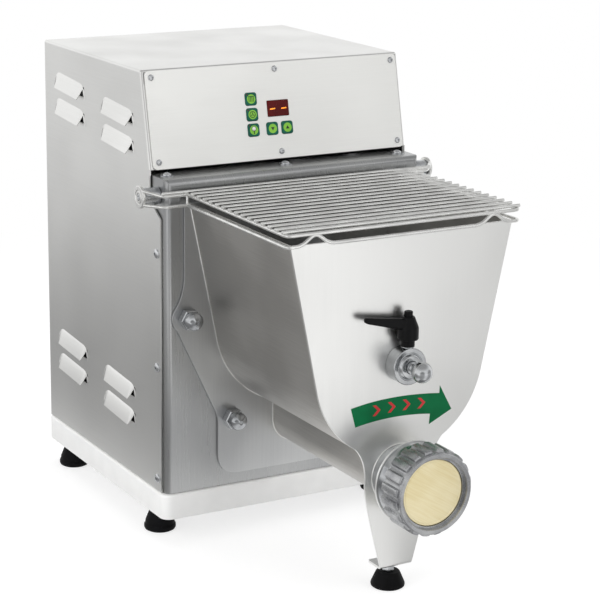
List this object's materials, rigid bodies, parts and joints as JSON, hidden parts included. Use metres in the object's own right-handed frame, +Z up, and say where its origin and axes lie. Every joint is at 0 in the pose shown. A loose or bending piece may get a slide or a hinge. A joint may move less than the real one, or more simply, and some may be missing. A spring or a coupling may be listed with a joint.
{
  "type": "pasta machine",
  "caption": "Counter-top pasta machine: steel drive casing with a control panel, kneading trough under a hinged wire guard, auger barrel with a ring nut and a blank die.",
  "frame": {"origin": "centre of the footprint box on the table, below the middle of the whole machine", "axes": "+X to the right seen from the front, +Y to the back of the casing, +Z up"},
  "size_m": [0.3838, 0.662, 0.55],
  "materials": {
    "satin_steel": "satin, fine vertical grain",
    "panel_steel": "brushed along its length",
    "machined_steel": "turned, bright",
    "wire_steel": "polished wire",
    "cast_aluminium": "fine cast and blasted",
    "brass": "brushed",
    "white_enamel": "semi-gloss white",
    "motor_paint": "grey machine paint",
    "black_rubber": "matt",
    "black_plastic": "moulded, fine grain",
    "key_plastic": "printed membrane",
    "display": "dark red filter",
    "circuit_board": "solder mask"
  },
  "bodies": {
    "machine_body": {"base_tray": "white_enamel", "foot_front_left": "black_rubber", "foot_front_right": "black_rubber", "foot_rear_left": "black_rubber", "foot_rear_right": "black_rubber", "casing_shell": "satin_steel", "rear_panel": "satin_steel", "cable_gland": "black_plastic", "front_cover": "satin_steel", "mounting_plate": "machined_steel", "control_plate": "panel_steel", "display_window": "display", "control_board": "circuit_board", "gear_case": "cast_aluminium", "gear_case_cover": "cast_aluminium", "geared_motor": "motor_paint", "mixer_bush": "brass", "auger_bush": "brass", "hopper_rear_plate": "satin_steel", "hopper_trough": "satin_steel", "hopper_front_plate": "satin_steel", "leg_stud": "machined_steel", "leg_pad": "black_rubber", "clamp_nut_upper_left": "machined_steel", "clamp_nut_upper_right": "machined_steel", "clamp_nut_lower_left": "machined_steel", "clamp_nut_lower_right": "machined_steel", "extruder_head": "machined_steel", "bearing_boss": "machined_steel", "hinge_pin_left": "machined_steel", "hinge_pin_right": "machined_steel", "guard_sensor": "black_plastic"},
    "mixer": {"mixing_shaft": "machined_steel", "mixer_drive_shaft": "machined_steel", "mixer_gear": "machined_steel"},
    "auger_drive": {"auger": "machined_steel", "auger_drive_shaft": "machined_steel", "auger_gear": "machined_steel"},
    "pinion": {"motor_pinion": "machined_steel"},
    "die": {"die_disc": "brass"},
    "nut": {"ring_nut": "cast_aluminium"},
    "guard": {"guard_grille": "wire_steel", "guard_arm_left": "wire_steel", "guard_arm_right": "wire_steel"},
    "bearing_pin": {"pull_pin": "machined_steel"},
    "screw": {"clamp_screw": "machined_steel", "lever_button": "black_plastic"},
    "lever": {"clamp_lever": "black_plastic"},
    "extrude_key": {"key_extrude": "key_plastic"},
    "knead_key": {"key_knead": "key_plastic"},
    "stop_key": {"key_stop": "key_plastic"},
    "time_down_key": {"key_time_down": "key_plastic"},
    "time_up_key": {"key_time_up": "key_plastic"}
  },
  "joints": [
    {"name": "mixer_spin", "type": "hinge", "parent": "machine_body", "child": "mixer", "pos_m": [0, -0.15, 0.263], "axis": [0, -1, 0], "continuous": true},
    {"name": "auger_spin", "type": "hinge", "parent": "machine_body", "child": "auger_drive", "pos_m": [0, -0.15, 0.137], "axis": [0, -1, 0], "continuous": true},
    {"name": "motor_spin", "type": "hinge", "parent": "machine_body", "child": "pinion", "pos_m": [0, 0.01, 0.36275], "axis": [0, -1, 0], "continuous": true},
    {"name": "die_slide", "type": "slide", "parent": "machine_body", "child": "die", "axis": [0, -1, 0], "range_m": [0, 0.015]},
    {"name": "nut_turn", "type": "hinge", "parent": "die", "child": "nut", "pos_m": [0, -0.315, 0.137], "axis": [0, -1, 0], "range_deg": [0, 1800]},
    {"name": "guard_hinge", "type": "hinge", "parent": "machine_body", "child": "guard", "pos_m": [0, -0.003, 0.414], "axis": [-1, 0, 0], "range_deg": [0, 95]},
    {"name": "pin_pull", "type": "slide", "parent": "machine_body", "child": "bearing_pin", "axis": [0, -1, 0], "range_m": [0, 0.025]},
    {"name": "clamp_turn", "type": "hinge", "parent": "machine_body", "child": "screw", "pos_m": [0, -0.2685, 0.263], "axis": [0, 0, 1], "range_deg": [0, 90]},
    {"name": "lever_lift", "type": "slide", "parent": "screw", "child": "lever", "axis": [0, 0, 1], "range_m": [0, 0.004], "stiffness_N_per_m": 600, "springref_m": -0.002},
    {"name": "extrude_press", "type": "slide", "parent": "machine_body", "child": "extrude_key", "axis": [0, 0.977, -0.2132], "range_m": [0, 0.0005], "stiffness_N_per_m": 1000, "springref_m": -0.0003},
    {"name": "knead_press", "type": "slide", "parent": "machine_body", "child": "knead_key", "axis": [0, 0.977, -0.2132], "range_m": [0, 0.0005], "stiffness_N_per_m": 1000, "springref_m": -0.0003},
    {"name": "stop_press", "type": "slide", "parent": "machine_body", "child": "stop_key", "axis": [0, 0.977, -0.2132], "range_m": [0, 0.0005], "stiffness_N_per_m": 1000, "springref_m": -0.0003},
    {"name": "time_down_press", "type": "slide", "parent": "machine_body", "child": "time_down_key", "axis": [0, 0.977, -0.2132], "range_m": [0, 0.0005], "stiffness_N_per_m": 1000, "springref_m": -0.0003},
    {"name": "time_up_press", "type": "slide", "parent": "machine_body", "child": "time_up_key", "axis": [0, 0.977, -0.2132], "range_m": [0, 0.0005], "stiffness_N_per_m": 1000, "springref_m": -0.0003}
  ],
  "couplings": [
    {"joint": "auger_spin", "follows": "mixer_spin", "ratio": -1},
    {"joint": "motor_spin", "follows": "mixer_spin", "ratio": -1.7143},
    {"joint": "die_slide", "follows": "nut_turn", "m_per_rad": 0.00047746}
  ]
}
